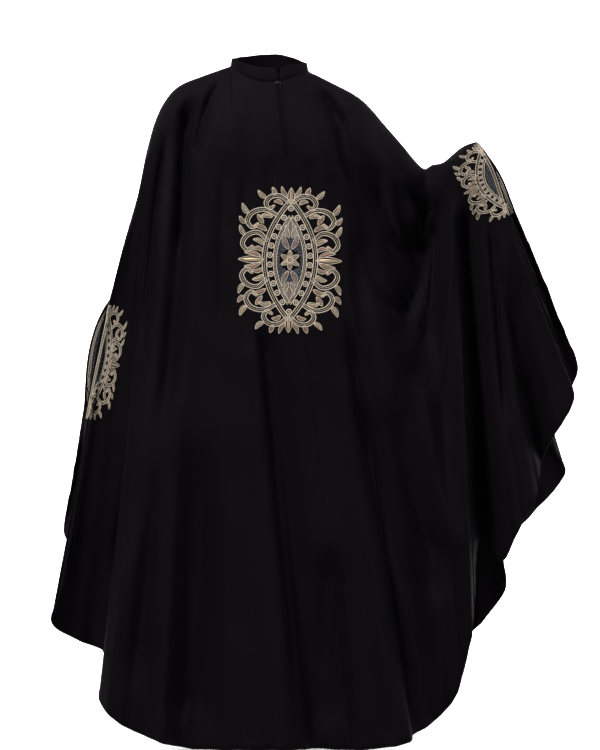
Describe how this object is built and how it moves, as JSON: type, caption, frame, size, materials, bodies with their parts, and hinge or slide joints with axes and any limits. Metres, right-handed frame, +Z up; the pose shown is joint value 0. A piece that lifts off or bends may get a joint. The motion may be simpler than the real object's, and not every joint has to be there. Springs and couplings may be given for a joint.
{
  "type": "abaya",
  "caption": "Long loose butterfly-cut abaya with batwing sleeves, a stand collar with a neck slit, and embroidery on the chest and round the cuffs, held out as worn.",
  "frame": {"origin": "middle of the neck at the height of the shoulder line, where the garment hangs on its wearer", "axes": "+Z up, the garment's front faces -Y, the raised sleeve lies on the +X side"},
  "size_m": [1.0648, 0.543, 1.3953],
  "materials": {
    "crepe": "near-black light crepe, matt with a faint sheen",
    "embroidery_thread": "cream and gold thread, slightly shiny",
    "hook_metal": "small dull wire hook"
  },
  "bodies": {
    "root": {"front_panel": "crepe", "back_panel": "crepe", "stand_collar": "crepe", "collar_hook": "hook_metal", "chest_embroidery": "embroidery_thread", "low_cuff_front_embroidery": "embroidery_thread", "low_cuff_back_embroidery": "embroidery_thread", "raised_cuff_front_embroidery": "embroidery_thread", "raised_cuff_back_embroidery": "embroidery_thread"}
  },
  "joints": []
}
